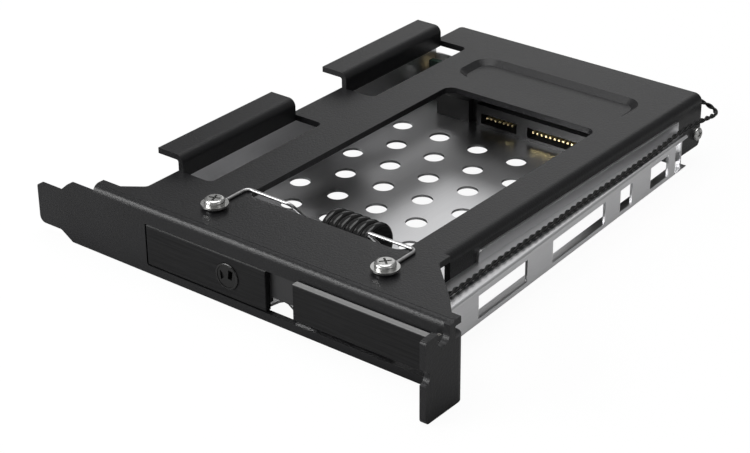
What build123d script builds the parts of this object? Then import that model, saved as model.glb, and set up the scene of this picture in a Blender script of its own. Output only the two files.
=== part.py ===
from build123d import *
from math import hypot, pi, radians, tan
import os

# Hot swap caddy for a 2.5 inch drive, carried by an expansion slot bracket.
# x runs along the bracket from the centre of the top plate to the screw tab, y from the
# front of the bracket's face into the computer, and z up from the face's bottom edge.

# Black folded sheet
SHEET = 1.5
BEND = 2.0
INNER_BEND = 0.5
PLATE_TOP = 17.0
PLATE_HALF = 36.33
PLATE_REAR = 125.6
FACE_LEFT = -64.95
FACE_RIGHT = 55.21
TONGUE_LOW, TONGUE_HIGH = 2.2, 11.9
TONGUE_LONG, TONGUE_TAPER = 6.9, 3.5
SHOULDER_HIGH = 14.9
FOLD_LEFT, FOLD_RIGHT = -46.5, 52.6
OPENING_LEFT, OPENING_RIGHT = -30.8, 47.2
OPENING_LOW, OPENING_HIGH = 2.05, 12.35
OPENING_CORNER = 0.6
FLARE = 7.67
NECK = (PLATE_HALF + 10.07, 8.1)
NECK_REAR, NECK_CORNER = 18.0, 8.0
WINDOW = (-15.9, PLATE_HALF - 9.13, 17.4, 92.4)
WINDOW_CORNER = 2.6
POCKET = (-20.0, PLATE_HALF - 8.63, 99.6, 113.2)
POCKET_DEPTH = 1.2
POCKET_SLOPE = 1.7
WEB_RIGHT = -PLATE_HALF + 1.43
SLOT_WIDE = 8.4
SLOT_RIGHT = WEB_RIGHT + SLOT_WIDE
SLOT_SPANS = ((17.2, 56.4), (75.6, 114.6))
TAB_REACH = 7.5
TAB_OUTER = WEB_RIGHT - TAB_REACH
TAB_TOP = 21.0
TAB_SHEET = 1.4
FLANGE_LOW = 9.0
FLANGE_FRONT = 22.0
EAR_LOW = 3.5
EAR_FRONT = PLATE_REAR - 11.0

# Screw tab at the right end of the bracket
TAB_FRONT = -11.55
TAB_REAR_EDGE = -2.0
TAB_SHOULDER = 15.25
TAB_HIGH = 19.2
TAB_BEND = 2.3
SCREW_NOTCH = (-5.75, 15.4, 1.95)
GUIDE_NOTCH = (-11.9, 10.6, 1.8)

# Silver folded tray
TIN = 0.6
TIN_BEND = 0.7
TIN_INNER_BEND = 0.1
TRAY_LOW = 2.7
TRAY_FRONT = 1.8
TRAY_REAR = 113.8
TRAY_WALL_TOP = PLATE_TOP - SHEET
REAR_WALL_TOP = TRAY_WALL_TOP - 1.5
SHELF_TOP = 11.4
UPPER_WALL_TOP = 14.05
UPPER_WALL_FRONT = 31.4
RAIL_FRONT = (PLATE_HALF + 7.62, 11.0)
RAIL_REAR = (PLATE_HALF + 3.32, TRAY_REAR)
RAIL_WALL_LONG = 96.9
SHELF_DEEP = 9.0
POST_LEFT, POST_RIGHT = PLATE_HALF - 6.0, PLATE_HALF + 1.87
POST_FOOT_TOP = 5.0
RAIL_WINDOWS = ((11.4, 30.5), (41.0, 63.7), (70.6, 76.1), (84.9, 93.6))
RAIL_WINDOW_LOW, RAIL_WINDOW_HIGH = 4.2, 9.7
SILL = 3.0
CHANNEL_FRONT, CHANNEL_REAR = 20.0, TRAY_REAR + 1.0
CHANNEL_INNER = PLATE_HALF - 4.0
REAR_WALL_RIGHT = -16.0
HOLE_R = 2.55
HOLE_PITCH = 11.6
HOLE_ROW_STEP = 10.05
HOLE_MARGIN = 6.0
HOLE_ROWS = 8
LAST_HOLE_ROW = 90.7
NOTCH = ((3.8, 1.0), (4.4, 4.2), (5.0, 5.0), (6.2, 4.8), (8.6, 3.6), (12.0, 1.0))

# Door
PIN_X, PIN_Y = 50.6, -1.15
PIN_R = 0.5
KNUCKLE_R = 0.85
RUNNING = 0.05
EDGE_GAP = 0.3
LEFT_PLATE_RIGHT = 4.2
RIGHT_PLATE_LEFT = 13.4
RIGHT_PLATE_END = 49.5
RIGHT_PLATE_LOW, RIGHT_PLATE_HIGH = 4.57, 13.05
PROUD = 2.0
FACE_PLATE = 1.0
DOOR_CORNER = 0.25
BACKING_REAR = 2.4
BACKING_LOW, BACKING_HIGH = 3.9, 11.9
BRIDGE_LOW = 5.4
CARRIER_LOW = 5.0
CARRIER_REAR = 2.6
ARM_GAP = 0.2
ARM = 0.95

# Lock
LOCK_X, LOCK_Z = -6.6, 7.4
RIM_R = 3.15
BARREL_R = 2.95
ROTOR_R = 2.6
KEY_SLOT = (1.1, 0.6, 1.2, 2.2)
KEY_TILT = 8
WEDGE = ((-1.9, 1.3), (-0.4, -0.1), (-1.6, -1.3))
WEDGE_DEPTH = 0.4
BARREL_REAR = 2.55
CAM_FRONT = 2.65
CAM_THICK = 0.8
CAM_REACH = 6.5
CAM_HALF = 2.0
TAIL_R = 1.4
CAM_SCREW_R = 0.6
CAM_SCREW_HEAD = (1.75, 0.8)

# Springs and roller
WIRE_R = 0.4
LEFT_SCREW = (-17.4, 8.6)
RIGHT_SCREW = (29.7, 8.6)
EYE_R = 2.0
SPRING_REAR = 19.2
LEGS_X = (-4.73, 16.09)
ROLLER_X = 7.4
ROLLER_Y, ROLLER_Z = 26.3, 9.55
ROLLER_LENGTH = 13.4
ROLLER_R = 5.7
ROLLER_CORE_R = 5.1
ROLLER_BANDS = 6
STUB_REACH = 3.0

# Screws
M3_R = 1.5
HEAD_R = 2.35
HEAD_HIGH = 1.25
WASHER_R = 3.1
WASHER_HIGH = 0.4
RECESS_HALF = 1.35
RECESS_WIDE = 0.5
RECESS_DEEP = 0.9
M2_R = 1.0
M2_HEAD_R = 1.7
M2_HEAD_HIGH = 1.2
SIDE_SCREW = (PLATE_REAR - 2.0, 7.25)
SIDE_SCREW_LONG = 3.2

# Board and connectors
BOARD_THICK = 1.6
STANDOFF_LONG = 3.2
BOARD_REAR = TRAY_REAR - TIN - STANDOFF_LONG
BOARD_FRONT = BOARD_REAR - BOARD_THICK
BOARD = (-PLATE_HALF + 2.33, PLATE_HALF - 2.93, BOARD_FRONT, BOARD_REAR, 3.8, 13.9)
PITCH = 1.27
CONNECTOR_X = 4.83
CONNECTOR_DEEP = 6.6
CONNECTOR_FRONT = BOARD_FRONT - CONNECTOR_DEEP
CONNECTOR_TOP = 9.2
DATA_COUNT, POWER_COUNT = 7, 15
GROUP_STEP = 5 * PITCH
FIRST_CONTACT = CONNECTOR_X - (DATA_COUNT + POWER_COUNT - 2 + 5) * PITCH / 2
SLOT_LOW, SLOT_HIGH = 4.3, 7.0
CONTACT_Z = 5.95
CONTACT_SIZE = 0.5
PLUG_LONG = 8.4
PLUG_REAR = BOARD_REAR + PLUG_LONG
PLUG_LOW, PLUG_HIGH = 4.4, 10.4
PLUG_WALL = 0.8
TONGUE_THICK = 1.2
HEADER_X = PLATE_HALF - 6.73
HEADER_REAR = BOARD_REAR + 3.9
HEADER = (HEADER_X - 2, HEADER_X + 2, BOARD_REAR, HEADER_REAR, 10.9, 13.5)
STANDOFF = (-PLATE_HALF + 5.13, 9.0)
BRACKET_SCREW = (PLATE_HALF - 5.73, 7.2)
HEAD_ROOM_LEFT, HEAD_ROOM_RIGHT = 3.0, 1.9
HOUSING_LEFT = STANDOFF[0] + M2_HEAD_R + HEAD_ROOM_LEFT
HOUSING_RIGHT = BRACKET_SCREW[0] - M2_HEAD_R - HEAD_ROOM_RIGHT
BRACKET_FOOT = 3.2
ANGLE_SHEET = 1.2
ANGLE_LOW, ANGLE_HIGH = 5.6, 10.4
STANDOFF_R = 2.2

# Status light and its lead
LEAD_R = 0.7
LIGHT_X, LIGHT_Z = PLATE_HALF + 4.57, 12.6
LIGHT_R = 1.5
LIGHT_FRONT = 3.4
HOLDER = (LIGHT_X - 2.3, LIGHT_X + 2.3, 5.0, 9.0, 10.6, PLATE_TOP - SHEET)
LOOP_REAR = PLATE_REAR + 4.9
LEAD_POINTS = (
    (LIGHT_X, HOLDER[3], LIGHT_Z),
    (PLATE_HALF + 4.47, 18.0, 12.2),
    (PLATE_HALF + 3.87, 34.0, 12.15),
    (PLATE_HALF + 3.77, 52.0, 12.15),
    (PLATE_HALF + 3.17, 69.0, 12.15),
    (PLATE_HALF + 3.07, 86.0, 12.15),
    (PLATE_HALF + 2.57, 101.0, 12.15),
    (PLATE_HALF + 2.07, 113.5, 12.6),
    (PLATE_HALF + 2.97, PLATE_REAR - 4.6, 12.6),
    (PLATE_HALF + 2.97, LOOP_REAR, 11.3),
    (HEADER_X + 0.4, LOOP_REAR, 13.4),
    (HEADER_X + 0.1, PLATE_REAR - 5.0, 13.4),
    (HEADER_X, HEADER_REAR, 12.2),
)
LEAD_SHARE = 0.48

os.makedirs("parts", exist_ok=True)


def save(shape, node):
    shape.label = node
    export_step(shape, f"parts/{node}.step")


def group(solids, node):
    save(Compound(children=list(solids)), node)


def box(x0, x1, y0, y1, z0, z1):
    return Pos((x0 + x1) / 2, (y0 + y1) / 2, (z0 + z1) / 2) * Box(x1 - x0, y1 - y0, z1 - z0)


def flat(points, radii):
    return make_face(FilletPolyline(*points, radius=radii, close=True))


def slab_z(points, radii, z0, z1):
    return extrude(flat([(x, y, z0) for x, y in points], radii), z1 - z0, dir=(0, 0, 1))


def slab_y(points, radii, y0, y1):
    return extrude(flat([(x, y0, z) for x, z in points], radii), y1 - y0, dir=(0, 1, 0))


def slab_x(points, radii, x0, x1):
    return extrude(flat([(x0, y, z) for y, z in points], radii), x1 - x0, dir=(1, 0, 0))


def rectangle(x0, x1, y0, y1):
    return [(x0, y0), (x1, y0), (x1, y1), (x0, y1)]


def rod_x(x0, x1, y, z, r):
    return Pos((x0 + x1) / 2, y, z) * Rot(0, 90, 0) * Cylinder(r, x1 - x0)


def rod_y(x, y0, y1, z, r):
    return Pos(x, (y0 + y1) / 2, z) * Rot(90, 0, 0) * Cylinder(r, y1 - y0)


def rod_z(x, y, z0, z1, r):
    return Pos(x, y, (z0 + z1) / 2) * Cylinder(r, z1 - z0)


def tube(points, radii, r):
    path = FilletPolyline(*points, radius=radii)
    start = Plane(origin=path @ 0, z_dir=path % 0)
    return sweep(start * Circle(r), path=path)


def recess(depth, half, wide):
    """A cross recess cut from z 0 downwards."""
    arms = Box(2 * half, wide, depth) + Box(wide, 2 * half, depth)
    return Pos(0, 0, -depth / 2) * arms


def pan_screw(shank_r, length, head_r, head_high):
    """A pan head screw: the head stands on z 0 and the shank runs down."""
    head = Pos(0, 0, head_high / 2) * Cylinder(head_r, head_high)
    head = fillet(head.edges().sort_by(Axis.Z)[-1], 0.6 * head_high)
    shank = Pos(0, 0, -length / 2) * Cylinder(shank_r, length)
    share = head_r / HEAD_R
    cut = recess(RECESS_DEEP * share, RECESS_HALF * share, RECESS_WIDE * share)
    return head + shank - Pos(0, 0, head_high) * cut


def bracket_face():
    tongue = FACE_LEFT + TONGUE_LONG
    shoulder = tongue + TONGUE_TAPER
    points = [
        (FACE_LEFT, TONGUE_LOW), (tongue, TONGUE_LOW), (shoulder, 0), (FOLD_RIGHT - BEND, 0),
        (FOLD_RIGHT - BEND, SHOULDER_HIGH), (shoulder, SHOULDER_HIGH), (tongue, TONGUE_HIGH),
        (FACE_LEFT, TONGUE_HIGH),
    ]
    face = slab_y(points, [1.6, 1.0, 0.6, 0, 0, 1.0, 1.5, 0.6], 0, SHEET)
    hole = [
        (OPENING_LEFT, OPENING_LOW), (OPENING_RIGHT, OPENING_LOW),
        (OPENING_RIGHT, OPENING_HIGH), (OPENING_LEFT, OPENING_HIGH),
    ]
    return face - slab_y(hole, [OPENING_CORNER, OPENING_CORNER, 0.3, 0.3], -1, SHEET + 1)


def front_fold():
    points = [
        (BEND + SHEET, PLATE_TOP), (0, PLATE_TOP), (0, OPENING_HIGH + 1),
        (SHEET, OPENING_HIGH + 1), (SHEET, PLATE_TOP - SHEET), (BEND + SHEET, PLATE_TOP - SHEET),
    ]
    return slab_x(points, [0, BEND, 0, 0, INNER_BEND, 0], FOLD_LEFT, FOLD_RIGHT)


def top_plate():
    points = [
        (-PLATE_HALF - FLARE, SHEET), (FOLD_RIGHT - 0.6, SHEET), NECK,
        (PLATE_HALF, NECK_REAR), (PLATE_HALF, FLANGE_FRONT),
        (PLATE_HALF - BEND, FLANGE_FRONT), (PLATE_HALF - BEND, PLATE_REAR),
        (-PLATE_HALF, PLATE_REAR), (-PLATE_HALF, 7.0),
    ]
    radii = [0, 0, NECK_CORNER, 1.5, 0, 0, 0, 1.0, 1.5]
    return slab_z(points, radii, PLATE_TOP - SHEET, PLATE_TOP)


def side_flange():
    inner = PLATE_HALF - SHEET
    points = [
        (PLATE_HALF - BEND - 1, PLATE_TOP), (PLATE_HALF, PLATE_TOP), (PLATE_HALF, FLANGE_LOW),
        (inner, FLANGE_LOW), (inner, PLATE_TOP - SHEET), (PLATE_HALF - BEND - 1, PLATE_TOP - SHEET),
    ]
    flange = slab_y(points, [0, BEND, 0, 0, INNER_BEND, 0], FLANGE_FRONT, PLATE_REAR)
    ear = [
        (EAR_FRONT, FLANGE_LOW + 1), (EAR_FRONT, EAR_LOW), (PLATE_REAR, EAR_LOW), (PLATE_REAR, FLANGE_LOW + 1),
    ]
    flange += slab_x(ear, [0, 1.0, 1.0, 0], inner, PLATE_HALF)
    y, z = SIDE_SCREW
    return flange - rod_x(inner - 1, PLATE_HALF + 1, y, z, M2_R)


def screw_tab():
    fold = [
        (FOLD_RIGHT - BEND, SHEET), (FACE_RIGHT, SHEET), (FACE_RIGHT, TAB_FRONT),
        (FACE_RIGHT - SHEET, TAB_FRONT), (FACE_RIGHT - SHEET, 0), (FOLD_RIGHT - BEND, 0),
    ]
    tab = slab_z(fold, [0, TAB_BEND, 0, 0, TAB_BEND - SHEET, 0], 0, TAB_HIGH)
    side = [
        (TAB_FRONT, 0), (SHEET + 1, 0), (SHEET + 1, TAB_SHOULDER), (TAB_REAR_EDGE, TAB_SHOULDER),
        (TAB_REAR_EDGE, TAB_HIGH), (TAB_FRONT, TAB_HIGH - 0.4),
    ]
    tab = tab & slab_x(side, [1.2, 0, 0, 0, 0.8, 0.8], FOLD_RIGHT - BEND - 1, FACE_RIGHT + 1)
    y, z, r = SCREW_NOTCH
    x0, x1 = FACE_RIGHT - SHEET - 1, FACE_RIGHT + 1
    tab -= rod_x(x0, x1, y, z + r, r) + box(x0, x1, y - r, y + r, z + r, TAB_HIGH + 1)
    y, z, r = GUIDE_NOTCH
    return tab - rod_x(x0, x1, y, z, r)


def lanced_tab(y0, y1):
    web = WEB_RIGHT - TAB_SHEET
    points = [
        (WEB_RIGHT, PLATE_TOP - SHEET), (WEB_RIGHT, TAB_TOP), (TAB_OUTER, TAB_TOP),
        (TAB_OUTER, TAB_TOP - TAB_SHEET), (web, TAB_TOP - TAB_SHEET), (web, PLATE_TOP - SHEET),
    ]
    return slab_y(points, [0, TAB_SHEET + INNER_BEND, 0, 0, INNER_BEND, 0], y0, y1)


def rounded(x0, x1, y0, y1, corner, z):
    return flat([(x, y, z) for x, y in rectangle(x0, x1, y0, y1)], [corner] * 4)


def pocket(grow, top, depth):
    """The sloped form of the pressed pocket, grown outwards, from its rim at height top."""
    x0, x1, y0, y1 = POCKET
    rim = rounded(x0 - grow, x1 + grow, y0 - grow, y1 + grow, 4.5 + grow, top)
    s = POCKET_SLOPE - grow
    floor = rounded(x0 + s, x1 - s, y0 + s, y1 - s, 4.5 - s, top - depth)
    return loft([rim, floor])


def slot_bracket():
    body = bracket_face() + front_fold() + top_plate() + side_flange() + screw_tab()
    x0, x1, y0, y1 = WINDOW
    z0, z1 = PLATE_TOP - SHEET - 1, PLATE_TOP + 1
    body -= slab_z(rectangle(x0, x1, y0, y1), [WINDOW_CORNER] * 4, z0, z1)
    for y0, y1 in SLOT_SPANS:
        body -= slab_z(rectangle(WEB_RIGHT, SLOT_RIGHT, y0, y1), [0, 1.5, 1.5, 0], z0, z1)
        body += lanced_tab(y0, y1)
    body += pocket(0.7, PLATE_TOP - SHEET, POCKET_DEPTH)
    body -= pocket(0, PLATE_TOP, POCKET_DEPTH)
    for x, y in (LEFT_SCREW, RIGHT_SCREW):
        body -= rod_z(x, y, z0, z1, M3_R)
    return body


def rail_plane():
    """Its origin is at the rail's front; x runs inwards, y up and z along the rail."""
    dx, dy = RAIL_REAR[0] - RAIL_FRONT[0], RAIL_REAR[1] - RAIL_FRONT[1]
    return Plane(origin=(*RAIL_FRONT, 0), x_dir=(-dy, dx, 0), z_dir=(dx, dy, 0))


def rail():
    """The skewed side rail: sill, windowed wall and shelf; the wall stops short of its rear end."""
    length = hypot(RAIL_REAR[0] - RAIL_FRONT[0], RAIL_REAR[1] - RAIL_FRONT[1])
    low, high = TRAY_LOW, SHELF_TOP
    bend, inner = TIN_BEND, TIN_INNER_BEND
    points = [
        (SILL, low), (0, low), (0, high), (SHELF_DEEP, high), (SHELF_DEEP, high - TIN), (TIN, high - TIN),
        (TIN, low + TIN), (SILL, low + TIN),
    ]
    outline = flat(points, [0, bend, bend, 0, 0, inner, inner, 0])
    plane = rail_plane()
    body = extrude(plane * outline, length, dir=plane.z_dir)
    relief = box(-1, 2 * TIN, low + TIN, high - TIN, RAIL_WALL_LONG, length + 1)
    body -= plane.location * relief
    for start, end in RAIL_WINDOWS:
        cut = box(-1, TIN + 0.01, RAIL_WINDOW_LOW, RAIL_WINDOW_HIGH, start, end)
        body -= plane.location * cut
    return body - box(PLATE_HALF - 2 * SHELF_DEEP, PLATE_HALF, 0, TRAY_REAR + 5, low + TIN, high + 1)


def tray_base():
    middle = -PLATE_HALF / 2
    side = [
        (-PLATE_HALF + TIN, TRAY_WALL_TOP), (-PLATE_HALF, TRAY_WALL_TOP), (-PLATE_HALF, TRAY_LOW),
        (middle, TRAY_LOW), (middle, TRAY_LOW + TIN), (-PLATE_HALF + TIN, TRAY_LOW + TIN),
    ]
    body = slab_y(side, [0, 0, TIN_BEND, 0, 0, TIN_INNER_BEND], TRAY_FRONT, TRAY_REAR)
    slope = (RAIL_REAR[0] - RAIL_FRONT[0]) / (RAIL_REAR[1] - RAIL_FRONT[1])
    front_x = RAIL_FRONT[0] - SILL + TIN / 2
    rear_x = front_x + slope * (TRAY_REAR - RAIL_FRONT[1])
    points = [
        (middle - TIN, TRAY_FRONT), (PLATE_HALF, TRAY_FRONT), (PLATE_HALF, RAIL_FRONT[1]),
        (front_x, RAIL_FRONT[1]), (rear_x, TRAY_REAR), (middle - TIN, TRAY_REAR),
    ]
    body += slab_z(points, [0] * 6, TRAY_LOW, TRAY_LOW + TIN)
    cut_front = front_x + slope * (CHANNEL_FRONT - RAIL_FRONT[1]) - TIN / 2
    cut_rear = front_x + slope * (CHANNEL_REAR - RAIL_FRONT[1]) - TIN / 2
    channel = [
        (CHANNEL_INNER, CHANNEL_FRONT), (cut_front, CHANNEL_FRONT),
        (cut_rear, CHANNEL_REAR), (CHANNEL_INNER, CHANNEL_REAR),
    ]
    body -= slab_z(channel, [0] * 4, 0, TRAY_LOW + 2 * TIN)
    back = [
        (TRAY_REAR - 5, TRAY_LOW), (TRAY_REAR, TRAY_LOW), (TRAY_REAR, REAR_WALL_TOP),
        (TRAY_REAR - TIN, REAR_WALL_TOP), (TRAY_REAR - TIN, TRAY_LOW + TIN),
        (TRAY_REAR - 5, TRAY_LOW + TIN),
    ]
    body += slab_x(back, [0, TIN_BEND, 0, 0, TIN_INNER_BEND, 0], -PLATE_HALF + TIN / 2, REAR_WALL_RIGHT)
    return body - slab_z(NOTCH, [0, 0.3, 0.3, 0.3, 0.3, 0], 0, TRAY_LOW + 2 * TIN)


def perforations():
    cuts = []
    for row in range(HOLE_ROWS):
        y = LAST_HOLE_ROW - row * HOLE_ROW_STEP
        count = int(2 * (PLATE_HALF - HOLE_MARGIN) / HOLE_PITCH) + 1 - row % 2
        first = -(count - 1) / 2 * HOLE_PITCH
        xs = [first + i * HOLE_PITCH for i in range(count)]
        cuts += [rod_z(x, y, 0, TRAY_LOW + 2 * TIN, HOLE_R) for x in xs]
    return cuts


def perforated_tray():
    upper = slab_x(
        [(UPPER_WALL_FRONT, SHELF_TOP - TIN), (UPPER_WALL_FRONT, UPPER_WALL_TOP),
         (TRAY_REAR, UPPER_WALL_TOP), (TRAY_REAR, SHELF_TOP - TIN)],
        [0, 1.5, 0.3, 0], PLATE_HALF, PLATE_HALF + TIN,
    )
    foot = box(POST_LEFT, POST_RIGHT, TRAY_REAR - TIN, TRAY_REAR, TRAY_LOW, POST_FOOT_TOP)
    post = box(PLATE_HALF, POST_RIGHT, TRAY_REAR - TIN, TRAY_REAR, TRAY_LOW, SHELF_TOP)
    body = tray_base() + rail() + upper + foot + post
    return body - perforations()


def knuckle_axis(z0, z1, r):
    return rod_z(PIN_X, PIN_Y, z0, z1, r)


def door_frame():
    low, high = RIGHT_PLATE_LOW, RIGHT_PLATE_HIGH
    front = -PROUD + FACE_PLATE
    body = box(RIGHT_PLATE_LEFT, PIN_X, front, PIN_Y + KNUCKLE_R, low, high)
    body += box(RIGHT_PLATE_LEFT, OPENING_RIGHT - 4 * EDGE_GAP, front, CARRIER_REAR,
                CARRIER_LOW, OPENING_HIGH - 0.3)
    left = OPENING_LEFT + 2 * EDGE_GAP
    body += box(left, LEFT_PLATE_RIGHT, SHEET, BACKING_REAR, BACKING_LOW, BACKING_HIGH)
    body += box(LEFT_PLATE_RIGHT - 1, RIGHT_PLATE_LEFT + 1, SHEET, BACKING_REAR, BRIDGE_LOW, BACKING_HIGH)
    body += knuckle_axis(low, high, KNUCKLE_R)
    body -= knuckle_axis(low - 1, high + 1, PIN_R + RUNNING)
    return body - rod_y(LOCK_X, 0, BACKING_REAR + 1, LOCK_Z, BARREL_R)


def face_plate(x0, x1, y0, y1, z0, z1):
    plate = box(x0, x1, y0, y1, z0, z1)
    return fillet(plate.faces().sort_by(Axis.Y)[0].edges(), DOOR_CORNER)


def left_face_plate():
    low, high = OPENING_LOW + EDGE_GAP, OPENING_HIGH - EDGE_GAP
    plate = face_plate(OPENING_LEFT + EDGE_GAP, LEFT_PLATE_RIGHT, 0, SHEET, low, high)
    return plate - rod_y(LOCK_X, -1, SHEET + 1, LOCK_Z, BARREL_R)


def right_face_plate():
    front = -PROUD
    return face_plate(
        RIGHT_PLATE_LEFT, RIGHT_PLATE_END, front, front + FACE_PLATE, RIGHT_PLATE_LOW, RIGHT_PLATE_HIGH
    )


def hinge_block():
    low, high = RIGHT_PLATE_LOW - ARM_GAP, RIGHT_PLATE_HIGH + ARM_GAP
    web = box(PIN_X + 1.4, PIN_X + 2.3, -PROUD, 0, low - ARM, high + ARM)
    arms = box(PIN_X - 1.2, PIN_X + 2, -PROUD, 0, low - ARM, low)
    arms += box(PIN_X - 1.2, PIN_X + 2, -PROUD, 0, high, high + ARM)
    return web + arms - knuckle_axis(low - ARM - 1, high + ARM + 1, PIN_R)


def door_hinge_pin():
    reach = ARM_GAP + ARM
    return knuckle_axis(RIGHT_PLATE_LOW - reach, RIGHT_PLATE_HIGH + reach, PIN_R)


def lock_barrel():
    rim = rod_y(LOCK_X, -0.4, 0, LOCK_Z, RIM_R)
    rim = fillet(rim.edges().sort_by(Axis.Y)[0], 0.3)
    body = rim + rod_y(LOCK_X, -0.1, BARREL_REAR, LOCK_Z, BARREL_R)
    return body - rod_y(LOCK_X, -1, BARREL_REAR + 1, LOCK_Z, ROTOR_R + RUNNING)


def lock_rotor():
    body = rod_y(LOCK_X, -0.3, BARREL_REAR, LOCK_Z, ROTOR_R)
    body += rod_y(LOCK_X, BARREL_REAR - 0.1, CAM_FRONT + CAM_THICK, LOCK_Z, TAIL_R)
    x, z, wide, tall = KEY_SLOT
    body -= Pos(LOCK_X + x, 0.2, LOCK_Z + z) * Rot(0, KEY_TILT, 0) * Box(wide, 2.0, tall)
    wedge = [(LOCK_X + x, LOCK_Z + z) for x, z in WEDGE]
    body -= slab_y(wedge, [0.15] * 3, -1, -0.3 + WEDGE_DEPTH)
    return body - rod_y(LOCK_X, 1.6, CAM_FRONT + 2, LOCK_Z, CAM_SCREW_R)


def lock_cam():
    rear = CAM_FRONT + CAM_THICK
    body = rod_y(LOCK_X, CAM_FRONT, rear, LOCK_Z, CAM_HALF + 0.6)
    tip = LOCK_X - CAM_REACH
    body += box(tip + 1, LOCK_X, CAM_FRONT, rear, LOCK_Z - CAM_HALF, LOCK_Z + CAM_HALF)
    body += box(tip, tip + 1.5, CAM_FRONT, rear, LOCK_Z - CAM_HALF + 0.5, LOCK_Z + CAM_HALF - 0.5)
    return body - rod_y(LOCK_X, 0, rear + 1, LOCK_Z, TAIL_R)


def cam_screw():
    head_r, head_high = CAM_SCREW_HEAD
    screw = pan_screw(CAM_SCREW_R, CAM_FRONT + CAM_THICK - 1.6, head_r, head_high)
    return Pos(LOCK_X, CAM_FRONT + CAM_THICK, LOCK_Z) * Rot(-90, 0, 0) * screw


def wire_spring(screw, leg, side):
    """A wire form from the eye under a top screw to its stub in the roller; side is -1 at the left."""
    x, y = screw
    level = PLATE_TOP + WIRE_R
    end = ROLLER_X + side * (ROLLER_LENGTH / 2 - STUB_REACH)
    points = [
        (x, y + EYE_R - 0.1, level), (x, SPRING_REAR, level), (leg, SPRING_REAR, level - 0.1),
        (leg, ROLLER_Y, ROLLER_Z), (end, ROLLER_Y, ROLLER_Z),
    ]
    wire = tube(points, [1.4, 1.4, 1.0], WIRE_R)
    return wire + Pos(x, y, level) * Torus(EYE_R, WIRE_R)


def ribbed_roller():
    y, z = ROLLER_Y, ROLLER_Z
    start = ROLLER_X - ROLLER_LENGTH / 2
    pitch = ROLLER_LENGTH / ROLLER_BANDS
    body = rod_x(start + 0.3, start + ROLLER_LENGTH - 0.3, y, z, ROLLER_CORE_R)
    for band in range(ROLLER_BANDS):
        x = start + (band + 0.5) * pitch
        ring = rod_x(x - 0.42 * pitch, x + 0.42 * pitch, y, z, ROLLER_R)
        body += fillet(ring.edges().filter_by(GeomType.CIRCLE), 0.38 * pitch)
    return body - rod_x(start - 1, start + ROLLER_LENGTH + 1, y, z, WIRE_R + RUNNING)


def top_screws():
    top = PLATE_TOP + 2 * WIRE_R + WASHER_HIGH
    screw = pan_screw(M3_R, top - PLATE_TOP + SHEET + 0.6, HEAD_R, HEAD_HIGH)
    return [Pos(x, y, top) * Rot(0, 0, turn) * screw
            for (x, y), turn in ((LEFT_SCREW, 20), (RIGHT_SCREW, 50))]


def top_washers():
    low = PLATE_TOP + 2 * WIRE_R
    return [rod_z(x, y, low, low + WASHER_HIGH, WASHER_R) - rod_z(x, y, low - 1, low + 2, M3_R)
            for x, y in (LEFT_SCREW, RIGHT_SCREW)]


def side_screw():
    y, z = SIDE_SCREW
    screw = pan_screw(M2_R, SIDE_SCREW_LONG, M2_HEAD_R, M2_HEAD_HIGH)
    return Pos(PLATE_HALF, y, z) * Rot(0, 90, 0) * Rot(0, 0, 15) * screw


def board_bracket():
    """Carries the right end of the board, and is held to the flange by the side screw."""
    right = PLATE_HALF - SHEET
    left = BRACKET_SCREW[0] - BRACKET_FOOT
    rear = PLATE_REAR - 0.6
    points = [
        (left, BOARD_REAR), (right, BOARD_REAR), (right, rear), (right - ANGLE_SHEET, rear),
        (right - ANGLE_SHEET, BOARD_REAR + ANGLE_SHEET), (left, BOARD_REAR + ANGLE_SHEET),
    ]
    body = slab_z(points, [0, 1.4, 0, 0, 0.3, 0], ANGLE_LOW, ANGLE_HIGH)
    y, z = SIDE_SCREW
    body -= rod_x(right - 3, right + 1, y, z, M2_R)
    return body - rod_y(BRACKET_SCREW[0], BOARD_REAR - 1, BOARD_REAR + 3, BRACKET_SCREW[1], M2_R)


def circuit_board():
    body = box(*BOARD)
    for x, z in (STANDOFF, BRACKET_SCREW):
        body -= rod_y(x, BOARD_FRONT - 1, BOARD_REAR + 1, z, M2_R)
    return body


def board_standoff():
    x, z = STANDOFF
    points = RegularPolygon(STANDOFF_R, 6)
    body = extrude(Plane(origin=(x, BOARD_REAR, z), z_dir=(0, 1, 0)) * points, STANDOFF_LONG)
    return body - rod_y(x, BOARD_REAR - 1, TRAY_REAR, z, M2_R)


def board_screws():
    screw = pan_screw(M2_R, BOARD_THICK + ANGLE_SHEET, M2_HEAD_R, M2_HEAD_HIGH)
    return [Pos(x, BOARD_FRONT, z) * Rot(90, 0, 0) * screw for x, z in (STANDOFF, BRACKET_SCREW)]


def contact_xs(group_index):
    first = FIRST_CONTACT + group_index * ((DATA_COUNT - 1) * PITCH + GROUP_STEP)
    count = POWER_COUNT if group_index else DATA_COUNT
    return [first + i * PITCH for i in range(count)]


def connector_housing():
    body = box(HOUSING_LEFT, HOUSING_RIGHT, CONNECTOR_FRONT, BOARD_FRONT, TRAY_LOW + TIN, CONNECTOR_TOP)
    body -= box(HOUSING_LEFT + 10, FIRST_CONTACT - 3, CONNECTOR_FRONT - 1, CONNECTOR_FRONT + 2, 3, 10)
    for index in (0, 1):
        xs = contact_xs(index)
        body -= box(xs[0] - 1.6, xs[-1] + 1.6, CONNECTOR_FRONT - 1, BOARD_FRONT - 1, SLOT_LOW, SLOT_HIGH)
        for x in xs:
            half = CONTACT_SIZE / 2
            body -= box(x - half, x + half, BOARD_FRONT - 2, BOARD_FRONT + 1, CONTACT_Z - half, CONTACT_Z + half)
    return body


def front_contacts(index):
    half = CONTACT_SIZE / 2
    return [box(x - half, x + half, CONNECTOR_FRONT + 0.3, BOARD_FRONT, CONTACT_Z - half, CONTACT_Z + half)
            for x in contact_xs(index)]


def plug_span(index):
    xs = contact_xs(index)
    return xs[0] - 1.9, xs[-1] + 1.9


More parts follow.
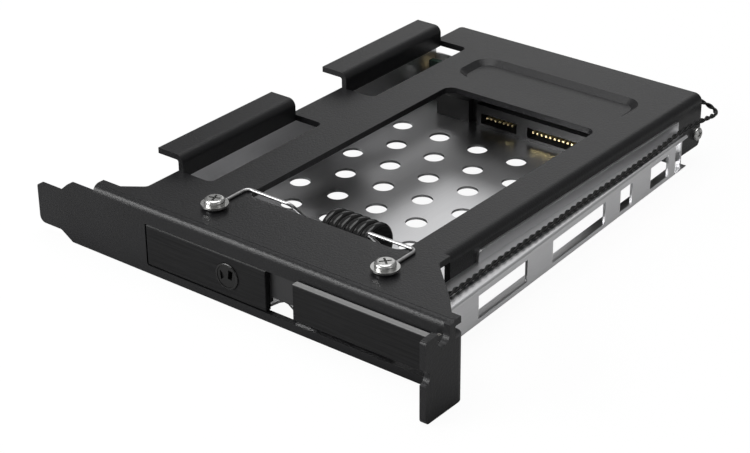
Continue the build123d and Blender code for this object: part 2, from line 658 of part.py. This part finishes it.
def rear_plug(index):
    """A shrouded plug for a cable: a tongue with its contacts on one side, walls round it."""
    x0, x1 = plug_span(index)
    front = BOARD_REAR
    wall = PLUG_WALL
    body = box(x0, x1, front, PLUG_REAR, PLUG_LOW, PLUG_HIGH)
    body -= box(x0 + wall, x1 - wall, front + 2, PLUG_REAR + 1, PLUG_LOW + wall, PLUG_HIGH - wall)
    z = (PLUG_LOW + PLUG_HIGH - TONGUE_THICK) / 2
    body += box(x0 + 1.2, x1 - 1.2, front + 1, PLUG_REAR - 0.8, z, z + TONGUE_THICK)
    body += box(x0 + 1.2, x0 + 2.0, front + 1, PLUG_REAR - 0.8, z, z + 2 * TONGUE_THICK)
    return body


def rear_contacts(index):
    half = CONTACT_SIZE / 2
    z = (PLUG_LOW + PLUG_HIGH - TONGUE_THICK) / 2
    return [box(x - half, x + half, BOARD_REAR + 2, PLUG_REAR - 1.6, z - 0.2, z) for x in contact_xs(index)]


def light_holder():
    return box(*HOLDER) - rod_y(LIGHT_X, HOLDER[2] - 1, HOLDER[3] + 1, LIGHT_Z, LIGHT_R)


def status_light():
    body = rod_y(LIGHT_X, LIGHT_FRONT, HOLDER[3], LIGHT_Z, LIGHT_R)
    return fillet(body.edges().filter_by(GeomType.CIRCLE).sort_by(Axis.Y)[0], 1.2)


def lead_radii():
    """Each arc is as large as the shorter of its two runs allows."""
    radii = []
    for a, b, c in zip(LEAD_POINTS, LEAD_POINTS[1:], LEAD_POINTS[2:]):
        run_in = Vector(*b) - Vector(*a)
        run_out = Vector(*c) - Vector(*b)
        turn = run_in.get_angle(run_out)
        radii.append(LEAD_SHARE * min(run_in.length, run_out.length) / tan(radians(turn / 2)))
    return radii


def light_lead():
    radii = lead_radii()
    print("lead radii", [round(r, 1) for r in radii])
    path = FilletPolyline(*LEAD_POINTS, radius=radii)
    body = tube(LEAD_POINTS, radii, LEAD_R)
    print("lead length", round(path.length, 2), "volume", round(body.volume, 2),
          "section x length", round(pi * LEAD_R ** 2 * path.length, 2))
    return body


save(slot_bracket(), "slot_bracket")
save(perforated_tray(), "perforated_tray")
save(door_frame(), "door_frame")
save(left_face_plate(), "left_face_plate")
save(right_face_plate(), "right_face_plate")
save(hinge_block(), "hinge_block")
save(door_hinge_pin(), "door_hinge_pin")
save(lock_barrel(), "lock_barrel")
save(lock_rotor(), "lock_rotor")
save(lock_cam(), "lock_cam")
save(cam_screw(), "cam_screw")
save(wire_spring(LEFT_SCREW, LEGS_X[0], -1), "left_spring")
save(wire_spring(RIGHT_SCREW, LEGS_X[1], 1), "right_spring")
save(ribbed_roller(), "ribbed_roller")
group(top_screws(), "top_screws")
group(top_washers(), "top_washers")
save(side_screw(), "side_screw")
save(board_bracket(), "board_bracket")
save(circuit_board(), "circuit_board")
save(board_standoff(), "board_standoff")
group(board_screws(), "board_screws")
save(connector_housing(), "connector_housing")
group(front_contacts(0), "data_contacts")
group(front_contacts(1), "power_contacts")
save(rear_plug(0), "rear_data_plug")
save(rear_plug(1), "rear_power_plug")
group(rear_contacts(0), "rear_data_contacts")
group(rear_contacts(1), "rear_power_contacts")
save(box(*HEADER), "board_header")
save(light_holder(), "light_holder")
save(status_light(), "status_light")
save(light_lead(), "light_lead")
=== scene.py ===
import bmesh
import bpy
from math import cos, pi, radians, sin
from mathutils import Matrix, Vector


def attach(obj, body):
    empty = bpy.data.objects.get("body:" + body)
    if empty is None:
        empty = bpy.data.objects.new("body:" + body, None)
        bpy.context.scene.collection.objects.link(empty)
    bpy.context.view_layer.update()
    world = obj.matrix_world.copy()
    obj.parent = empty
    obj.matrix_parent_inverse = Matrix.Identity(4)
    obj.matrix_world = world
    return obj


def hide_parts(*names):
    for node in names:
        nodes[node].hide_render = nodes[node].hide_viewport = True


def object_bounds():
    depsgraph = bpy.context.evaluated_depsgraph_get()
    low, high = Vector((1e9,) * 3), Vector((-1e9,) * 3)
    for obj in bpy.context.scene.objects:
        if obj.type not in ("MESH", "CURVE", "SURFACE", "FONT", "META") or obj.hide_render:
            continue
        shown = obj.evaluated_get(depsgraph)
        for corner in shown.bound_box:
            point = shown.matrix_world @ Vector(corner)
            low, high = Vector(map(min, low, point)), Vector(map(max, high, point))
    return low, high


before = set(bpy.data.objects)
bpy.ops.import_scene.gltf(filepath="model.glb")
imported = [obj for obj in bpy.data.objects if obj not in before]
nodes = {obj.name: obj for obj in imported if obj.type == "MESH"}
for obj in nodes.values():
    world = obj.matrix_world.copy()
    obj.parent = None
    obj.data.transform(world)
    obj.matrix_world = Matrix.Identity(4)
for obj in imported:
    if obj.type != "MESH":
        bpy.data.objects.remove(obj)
cad_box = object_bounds()

# The camera stands in front of the caddy, to its right and above it, as the photographer did.
# Its place, direction and roll fit the bracket, the plate and the window in a 750 by 453 picture.
CAMERA_PLACE = Vector((0.2491, -0.2703, 0.2141))
CAMERA_LOOK = Vector((-0.55118, 0.69239, -0.46562)).normalized()
CAMERA_ROLL = radians(-0.525)
PICTURE_WIDTH = 750
FOCAL_PIXELS = 1982.46
SENSOR_WIDTH = 36.0
NEAREST_SEEN = 0.01

camera_data = bpy.data.cameras.new("camera")
camera_data.sensor_fit = "HORIZONTAL"
camera_data.sensor_width = SENSOR_WIDTH
camera_data.lens = FOCAL_PIXELS * SENSOR_WIDTH / PICTURE_WIDTH
camera_data.clip_start = NEAREST_SEEN
camera = bpy.data.objects.new("camera", camera_data)
bpy.context.scene.collection.objects.link(camera)
level_right = CAMERA_LOOK.cross(Vector((0, 0, 1))).normalized()
level_up = level_right.cross(CAMERA_LOOK)
right = level_right * cos(CAMERA_ROLL) + level_up * sin(CAMERA_ROLL)
up = right.cross(CAMERA_LOOK)
camera_turn = Matrix((right, up, -CAMERA_LOOK)).transposed().to_4x4()
camera.matrix_world = Matrix.Translation(CAMERA_PLACE) @ camera_turn
bpy.context.scene.camera = camera
bpy.context.scene.view_settings.view_transform = "Standard"

# A studio with five soft boxes: a large one overhead, one behind that the black plate mirrors, one for the
# bend along the plate's front, a low one for the face and a weak one at the right. The world is white to
# the eye, and to all else a grey sky that is brighter overhead.
SKY_LOW, SKY_LEVEL, SKY_HIGH = 0.24, 0.26, 0.5
SKY_LEVEL_AT = 0.55
SKY_STRENGTH = 0.75
SOFT_BOXES = (
    # name, place, aimed at, width, height, watts
    ("overhead", (-0.1, 0.1, 0.9), (0, 0.05, 0), 0.9, 0.7, 6.0),
    ("behind", (-0.54, 1.18, 0.6), (0, 0.06, 0), 0.75, 0.6, 1.15),
    ("bend", (-0.58, -0.72, 0.47), (0, 0.02, 0), 0.6, 0.2, 6.4),
    ("front", (-0.65, -0.85, 0.16), (0, 0, 0), 0.9, 0.16, 3.0),
    ("right", (0.9, 0, 0.35), (0, 0.06, 0), 0.5, 0.5, 0.6),
)


def grey(level):
    return (level, level, level, 1)


def new_node(tree, kind, **values):
    """A shader node with its settings, and its sockets where a name isn't a setting."""
    node = tree.nodes.new(kind)
    for name, value in values.items():
        if hasattr(node, name):
            setattr(node, name, value)
        else:
            node.inputs[name.replace("_", " ")].default_value = value
    return node


def link(tree, source, output, target, socket):
    tree.links.new(source.outputs[output], target.inputs[socket])


world = bpy.data.worlds.new("studio")
bpy.context.scene.world = world
world.use_nodes = True
tree = world.node_tree
tree.nodes.clear()
path = new_node(tree, "ShaderNodeLightPath")
place = new_node(tree, "ShaderNodeTexCoord")
split = new_node(tree, "ShaderNodeSeparateXYZ")
height = new_node(tree, "ShaderNodeMapRange", From_Min=-1.0, From_Max=1.0)
ramp = new_node(tree, "ShaderNodeValToRGB")
ramp.color_ramp.elements[0].color = grey(SKY_LOW)
ramp.color_ramp.elements[1].color = grey(SKY_HIGH)
ramp.color_ramp.elements.new(SKY_LEVEL_AT).color = grey(SKY_LEVEL)
sky = new_node(tree, "ShaderNodeBackground", Strength=SKY_STRENGTH)
white = new_node(tree, "ShaderNodeBackground", Color=grey(1), Strength=1.0)
mix = new_node(tree, "ShaderNodeMixShader")
end = new_node(tree, "ShaderNodeOutputWorld")
link(tree, place, "Generated", split, "Vector")
link(tree, split, "Z", height, "Value")
link(tree, height, "Result", ramp, "Fac")
link(tree, ramp, "Color", sky, "Color")
link(tree, path, "Is Camera Ray", mix, 0)
link(tree, sky, 0, mix, 1)
link(tree, white, 0, mix, 2)
link(tree, mix, 0, end, "Surface")

for name, spot, target, wide, high, watts in SOFT_BOXES:
    lamp_data = bpy.data.lights.new(name, "AREA")
    lamp_data.shape = "RECTANGLE"
    lamp_data.size = wide
    lamp_data.size_y = high
    lamp_data.energy = watts
    lamp = bpy.data.objects.new(name, lamp_data)
    bpy.context.scene.collection.objects.link(lamp)
    lamp.location = spot
    lamp.rotation_euler = (Vector(target) - Vector(spot)).to_track_quat("-Z", "Y").to_euler()

# The floor is a plain sheet just under the caddy. To the eye it is almost white, with a soft shadow, and
# it is darker where a surface mirrors it.
FLOOR_HALF = 3.0
FLOOR_GAP = 0.0001
FLOOR_SEEN = 0.9
FLOOR_MIRRORED = 0.45
FLOOR_GLOW = 0.95
# The two colour inputs of a Mix node, and its colour output.
MIX_A, MIX_B, MIX_OUT = 6, 7, 2

floor_mesh = bpy.data.meshes.new("floor")
bm = bmesh.new()
bmesh.ops.create_grid(bm, x_segments=1, y_segments=1, size=FLOOR_HALF)
bm.to_mesh(floor_mesh)
bm.free()
floor = bpy.data.objects.new("floor", floor_mesh)
bpy.context.scene.collection.objects.link(floor)
floor.location.z = cad_box[0][2] - FLOOR_GAP
floor_material = bpy.data.materials.new("white_floor")
floor_material.use_nodes = True
tree = floor_material.node_tree
tree.nodes.clear()
path = new_node(tree, "ShaderNodeLightPath")
shade = new_node(tree, "ShaderNodeMix", data_type="RGBA")
shade.inputs[MIX_A].default_value = grey(FLOOR_MIRRORED)
shade.inputs[MIX_B].default_value = grey(FLOOR_SEEN)
paint = new_node(tree, "ShaderNodeBsdfDiffuse")
glow = new_node(tree, "ShaderNodeEmission", Color=grey(1), Strength=1.0)
share = new_node(tree, "ShaderNodeMath", operation="MULTIPLY")
share.inputs[1].default_value = FLOOR_GLOW
mix = new_node(tree, "ShaderNodeMixShader")
end = new_node(tree, "ShaderNodeOutputMaterial")
link(tree, path, "Is Camera Ray", shade, 0)
link(tree, shade, MIX_OUT, paint, "Color")
link(tree, path, "Is Camera Ray", share, 0)
link(tree, share, "Value", mix, 0)
link(tree, paint, 0, mix, 1)
link(tree, glow, 0, mix, 2)
link(tree, mix, 0, end, "Surface")
floor_mesh.materials.append(floor_material)

# Slot bracket: one steel sheet, cut, pressed and folded, then powder coated in satin black. The coat has a
# fine skin of low grains and is a little duller in patches. The hinge block and the board's bracket have
# the same coat.
FLOAT, COLOUR, VECTOR = "NodeSocketFloat", "NodeSocketColor", "NodeSocketVector"
SKIN_OUTPUTS = (("Color", COLOUR), ("Roughness", FLOAT), ("Normal", VECTOR))
PATCH_SCALE = 60.0
GRAIN_SHARE = 0.35
GRAIN_DEPTH = 0.00005


def group_tree(name, inputs, outputs):
    """An empty shader node group with its input and output nodes."""
    made = bpy.data.node_groups.new(name, "ShaderNodeTree")
    for title, kind in inputs:
        made.interface.new_socket(title, in_out="INPUT", socket_type=kind)
    for title, kind in outputs:
        made.interface.new_socket(title, in_out="OUTPUT", socket_type=kind)
    return made, made.nodes.new("NodeGroupInput"), made.nodes.new("NodeGroupOutput")


speckle, start, end = group_tree(
    "grain_and_patches",
    (("Grain Scale", FLOAT), ("Dark", COLOUR), ("Light", COLOUR), ("Rough Low", FLOAT),
     ("Rough High", FLOAT), ("Grain Height", FLOAT)),
    SKIN_OUTPUTS,
)
place = new_node(speckle, "ShaderNodeTexCoord")
grain = new_node(speckle, "ShaderNodeTexNoise", Detail=3.0, Roughness=0.6)
patch = new_node(speckle, "ShaderNodeTexNoise", Scale=PATCH_SCALE, Detail=4.0, Roughness=0.55)
both = new_node(speckle, "ShaderNodeMath", operation="MULTIPLY_ADD")
both.inputs[1].default_value = GRAIN_SHARE
blend = new_node(speckle, "ShaderNodeMix", data_type="RGBA")
rough = new_node(speckle, "ShaderNodeMapRange")
bump = new_node(speckle, "ShaderNodeBump", Distance=GRAIN_DEPTH)
link(speckle, place, "Object", grain, "Vector")
link(speckle, place, "Object", patch, "Vector")
link(speckle, start, "Grain Scale", grain, "Scale")
link(speckle, grain, "Fac", both, 0)
link(speckle, patch, "Fac", both, 2)
link(speckle, both, "Value", blend, 0)
link(speckle, start, "Dark", blend, MIX_A)
link(speckle, start, "Light", blend, MIX_B)
link(speckle, blend, MIX_OUT, end, "Color")
link(speckle, patch, "Fac", rough, "Value")
link(speckle, start, "Rough Low", rough, "To Min")
link(speckle, start, "Rough High", rough, "To Max")
link(speckle, rough, "Result", end, "Roughness")
link(speckle, start, "Grain Height", bump, "Strength")
link(speckle, grain, "Fac", bump, "Height")
link(speckle, bump, "Normal", end, "Normal")


def finish_of(name, group, metallic, coat, level, **values):
    """A material with a Principled shader that takes its skin from a group placed with these values."""
    material = bpy.data.materials.new(name)
    material.use_nodes = True
    tree = material.node_tree
    shader = tree.nodes["Principled BSDF"]
    shader.inputs["Metallic"].default_value = metallic
    shader.inputs["Coat Weight"].default_value = coat
    shader.inputs["Specular IOR Level"].default_value = level
    skin = new_node(tree, "ShaderNodeGroup", node_tree=group, **values)
    link(tree, skin, "Color", shader, "Base Color")
    link(tree, skin, "Roughness", shader, "Roughness")
    link(tree, skin, "Normal", shader, "Normal")
    return material


def speckled(name, dark, light, rough, height, grain=4000.0, metallic=0.0, coat=0.0, level=0.5):
    """A finish with fine grains, between two colours and two values of roughness."""
    return finish_of(
        name, speckle, metallic, coat, level, Grain_Scale=grain, Dark=dark, Light=light,
        Rough_Low=rough[0], Rough_High=rough[1], Grain_Height=height,
    )


def dress(material, *names):
    for name in names:
        slots = nodes[name].data.materials
        slots.clear()
        slots.append(material)


powder_coat = speckled(
    "black_powder_coat", (0.004, 0.004, 0.0044, 1), (0.011, 0.011, 0.012, 1), (0.3, 0.38), 1.2,
    grain=2200.0, level=0.3,
)
dress(powder_coat, "slot_bracket", "hinge_block", "board_bracket")

# Tray: bright zinc coated steel, punched with rows of round holes and folded up at its sides. The rolling
# left a fine grain along the sheet, and handling left it a little duller in patches.
TRAY_GRAIN = (1500.0, 25.0, 1500.0)
CLOUD_SCALE = 45.0
LINE_SHARE = 0.6
DULL_FROM, DULL_TO = 0.3, 1.3
LINE_DEPTH = 0.00004

rolled, start, end = group_tree(
    "long_grain",
    (("Along", VECTOR), ("Dark", COLOUR), ("Light", COLOUR), ("Rough Low", FLOAT),
     ("Rough High", FLOAT), ("Grain Height", FLOAT)),
    SKIN_OUTPUTS,
)
place = new_node(rolled, "ShaderNodeTexCoord")
stretch = new_node(rolled, "ShaderNodeVectorMath", operation="MULTIPLY")
lines = new_node(rolled, "ShaderNodeTexNoise", Scale=1.0, Detail=5.0, Roughness=0.7)
cloud = new_node(rolled, "ShaderNodeTexNoise", Scale=CLOUD_SCALE, Detail=3.0)
blend = new_node(rolled, "ShaderNodeMix", data_type="RGBA")
both = new_node(rolled, "ShaderNodeMath", operation="MULTIPLY_ADD")
both.inputs[1].default_value = LINE_SHARE
rough = new_node(rolled, "ShaderNodeMapRange", From_Min=DULL_FROM, From_Max=DULL_TO)
bump = new_node(rolled, "ShaderNodeBump", Distance=LINE_DEPTH)
link(rolled, place, "Object", stretch, 0)
link(rolled, start, "Along", stretch, 1)
link(rolled, stretch, "Vector", lines, "Vector")
link(rolled, place, "Object", cloud, "Vector")
link(rolled, lines, "Fac", blend, 0)
link(rolled, start, "Dark", blend, MIX_A)
link(rolled, start, "Light", blend, MIX_B)
link(rolled, blend, MIX_OUT, end, "Color")
link(rolled, lines, "Fac", both, 0)
link(rolled, cloud, "Fac", both, 2)
link(rolled, both, "Value", rough, "Value")
link(rolled, start, "Rough Low", rough, "To Min")
link(rolled, start, "Rough High", rough, "To Max")
link(rolled, rough, "Result", end, "Roughness")
link(rolled, start, "Grain Height", bump, "Strength")
link(rolled, lines, "Fac", bump, "Height")
link(rolled, bump, "Normal", end, "Normal")


def grained(name, along, dark, light, rough, height, metallic=1.0, level=0.5):
    """A finish with a grain drawn out along one direction, between two colours."""
    return finish_of(
        name, rolled, metallic, 0.0, level, Along=along, Dark=dark, Light=light,
        Rough_Low=rough[0], Rough_High=rough[1], Grain_Height=height,
    )


zinc = grained("zinc_sheet", TRAY_GRAIN, (0.68, 0.68, 0.69, 1), (0.76, 0.76, 0.77, 1), (0.3, 0.38), 0.02)
dress(zinc, "perforated_tray")

# Door: two black anodised plates with a grain brushed along them, on a black moulded frame that turns on a
# steel pin beside the screw tab. The faces that look up carry a painted sheen, a paler grey for the backdrop
# they mirror.
PLATE_GRAIN = (60.0, 1500.0, 2600.0)
# Painted sheen: the pale grey given to faces that look up, in place of the bright backdrop they mirror.
UPWARD_SHEEN_GREY = 0.26
UPWARD_FROM, UPWARD_TO = 0.8, 0.97
MOULDED = {"dark": (0.014, 0.014, 0.015, 1), "light": (0.02, 0.02, 0.021, 1), "rough": (0.45, 0.6),
           "height": 0.2, "grain": 3000.0}


def paint_upward_sheen(material):
    """Paints a sheen on the faces that look up by turning their colour a paler grey, a painted highlight."""
    tree = material.node_tree
    shader = tree.nodes["Principled BSDF"]
    skin = shader.inputs["Base Color"].links[0].from_node
    place = new_node(tree, "ShaderNodeTexCoord")
    split = new_node(tree, "ShaderNodeSeparateXYZ")
    sheen_mask = new_node(tree, "ShaderNodeMapRange", From_Min=UPWARD_FROM, From_Max=UPWARD_TO)
    sheen = new_node(tree, "ShaderNodeMix", data_type="RGBA")
    # Painted highlight: faces whose normal points up get the pale grey in place of their own colour.
    sheen.inputs[MIX_B].default_value = grey(UPWARD_SHEEN_GREY)
    link(tree, place, "Normal", split, "Vector")
    link(tree, split, "Z", sheen_mask, "Value")
    link(tree, sheen_mask, "Result", sheen, 0)
    link(tree, skin, "Color", sheen, MIX_A)
    link(tree, sheen, MIX_OUT, shader, "Base Color")


anodised = grained(
    "brushed_black_plate", PLATE_GRAIN, grey(0.001), (0.036, 0.036, 0.037, 1), (0.34, 0.5), 0.4,
    metallic=0.3, level=0.06,
)
paint_upward_sheen(anodised)
dress(anodised, "left_face_plate", "right_face_plate")
frame_moulding = speckled("frame_moulding", **MOULDED)
# The frame's faces that look up get the same painted sheen.
paint_upward_sheen(frame_moulding)
dress(frame_moulding, "door_frame")

# Lock: a barrel with dark nickel plating, pressed into the left plate, and a rotor of black oxidised steel
# that a key turns. The cam, its screw and the door's pin are steel too, plated with bright nickel.
nickel = speckled(
    "nickel_plate", (0.62, 0.6, 0.56, 1), (0.72, 0.7, 0.66, 1), (0.12, 0.24), 0.04, metallic=1.0
)
dark_nickel = speckled("dark_nickel", grey(0.04), grey(0.07), (0.1, 0.18), 0.05, metallic=1.0)
black_oxide = speckled("black_oxide", grey(0.012), grey(0.024), (0.3, 0.42), 0.08, metallic=0.6)
dress(nickel, "lock_cam", "cam_screw", "door_hinge_pin")
dress(dark_nickel, "lock_barrel")
dress(black_oxide, "lock_rotor")

# Springs and screws: two bright spring wires, bent to shape, each held down by a pan head screw and its
# washer. The screws are nickel plated steel with pressed crosses, and the washers are stamped.
bright = speckled(
    "bright_nickel", (0.48, 0.48, 0.47, 1), (0.58, 0.58, 0.57, 1), (0.22, 0.34), 0.04, metallic=1.0
)
wire = speckled("spring_wire", grey(0.4), grey(0.5), (0.26, 0.36), 0.04, metallic=1.0)
dress(bright, "top_screws", "top_washers", "side_screw", "board_screws")
dress(wire, "left_spring", "right_spring")

# Roller: black rubber, moulded with six rings round a plain core. It turns on the ends of the two springs
# and presses on the drive that slides in beneath it.
rubber = speckled("black_rubber", grey(0.003), grey(0.006), (0.12, 0.2), 0.06, grain=2500.0, level=0.4)
dress(rubber, "ribbed_roller")

# Board: very dark green laminate, upright at the rear on a turned brass standoff. Its connector and the two
# plugs behind it are moulded in black round gold plated contacts, and the header for the light's lead is
# moulded in natural nylon.
laminate = speckled(
    "green_laminate", (0.004, 0.014, 0.009, 1), (0.007, 0.022, 0.014, 1), (0.25, 0.4), 0.05, coat=0.2
)
housing = speckled("connector_moulding", grey(0.016), grey(0.024), (0.35, 0.5), 0.15)
gold = speckled("gold_plate", (0.85, 0.66, 0.32, 1), (0.95, 0.78, 0.42, 1), (0.3, 0.42), 0.05, metallic=0.8)
brass = speckled("turned_brass", (0.6, 0.45, 0.2, 1), (0.7, 0.55, 0.28, 1), (0.2, 0.35), 0.08, metallic=1.0)
ivory = speckled("natural_nylon", (0.6, 0.58, 0.52, 1), (0.7, 0.68, 0.62, 1), (0.35, 0.5), 0.1)
dress(laminate, "circuit_board")
dress(housing, "connector_housing", "rear_data_plug", "rear_power_plug")
dress(gold, "data_contacts", "power_contacts", "rear_data_contacts", "rear_power_contacts")
dress(brass, "board_standoff")
dress(ivory, "board_header")

# Status light: a clear lens in a moulded black holder under the plate. Its lead is two insulated wires
# twisted together, which lie on the tray's shelf and loop round the rear end of the flange to the board.
MM = 0.001
LEAD_POINTS_MM = (
    (40.9, 9.0, 12.6), (40.8, 18.0, 12.2), (40.2, 34.0, 12.15), (40.1, 52.0, 12.15), (39.5, 69.0, 12.15),
    (39.4, 86.0, 12.15), (38.9, 101.0, 12.15), (38.4, 113.5, 12.6), (39.3, 121.0, 12.6), (39.3, 130.5, 11.3),
    (30.0, 130.5, 13.4), (29.7, 120.6, 13.4), (29.6, 113.9, 12.2),
)
STEPS_PER_POINT = 40
STRAND_R = 0.31 * MM
STRAND_ROUNDING = 3
TWIST_R = 0.3 * MM
TWIST_STEP = 4.8 * MM

moulding = speckled("black_moulding", **MOULDED)
lens = speckled("clear_lens", (0.45, 0.55, 0.62, 1), (0.55, 0.65, 0.72, 1), (0.08, 0.15), 0.02, coat=0.5)
insulation = speckled("black_insulation", grey(0.003), grey(0.007), (0.4, 0.5), 0.1, level=0.25)
dress(moulding, "light_holder")
dress(lens, "status_light")


def spline_points(points):
    """Points along the smooth line that these control points steer."""
    data = bpy.data.curves.new("line", "CURVE")
    data.dimensions = "3D"
    data.resolution_u = STEPS_PER_POINT
    spline = data.splines.new("NURBS")
    spline.points.add(len(points) - 1)
    for point, place in zip(spline.points, points):
        point.co = (*place, 1)
    spline.order_u = 3
    spline.use_endpoint_u = True
    line = bpy.data.objects.new("line", data)
    mesh = bpy.data.meshes.new_from_object(line)
    places = [v.co.copy() for v in mesh.vertices]
    bpy.data.objects.remove(line)
    return places


def strand(line, phase):
    """One wire of the pair, wound round the line."""
    data = bpy.data.curves.new("strand", "CURVE")
    data.dimensions = "3D"
    data.bevel_depth = STRAND_R
    data.bevel_resolution = STRAND_ROUNDING
    places = []
    run = 0.0
    for i, place in enumerate(line):
        ahead = line[min(i + 1, len(line) - 1)] - line[max(i - 1, 0)]
        side = ahead.cross(Vector((0, 0, 1))).normalized()
        over = side.cross(ahead).normalized()
        run += (place - line[i - 1]).length if i else 0.0
        angle = phase + 2 * pi * run / TWIST_STEP
        places.append(place + TWIST_R * (side * cos(angle) + over * sin(angle)))
    spline = data.splines.new("POLY")
    spline.points.add(len(places) - 1)
    for point, place in zip(spline.points, places):
        point.co = (*place, 1)
    return data


lead_line = spline_points([Vector(p) * MM for p in LEAD_POINTS_MM])
lead_bm = bmesh.new()
for phase in (0, pi):
    curve = bpy.data.objects.new("strand", strand(lead_line, phase))
    lead_bm.from_mesh(bpy.data.meshes.new_from_object(curve))
    bpy.data.objects.remove(curve)
for face in lead_bm.faces:
    face.smooth = True
lead_mesh = bpy.data.meshes.new("twisted_lead")
lead_bm.to_mesh(lead_mesh)
lead_bm.free()
lead_mesh.materials.append(insulation)
lead = bpy.data.objects.new("twisted_lead", lead_mesh)
bpy.context.scene.collection.objects.link(lead)
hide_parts("light_lead")
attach(lead, "bracket")
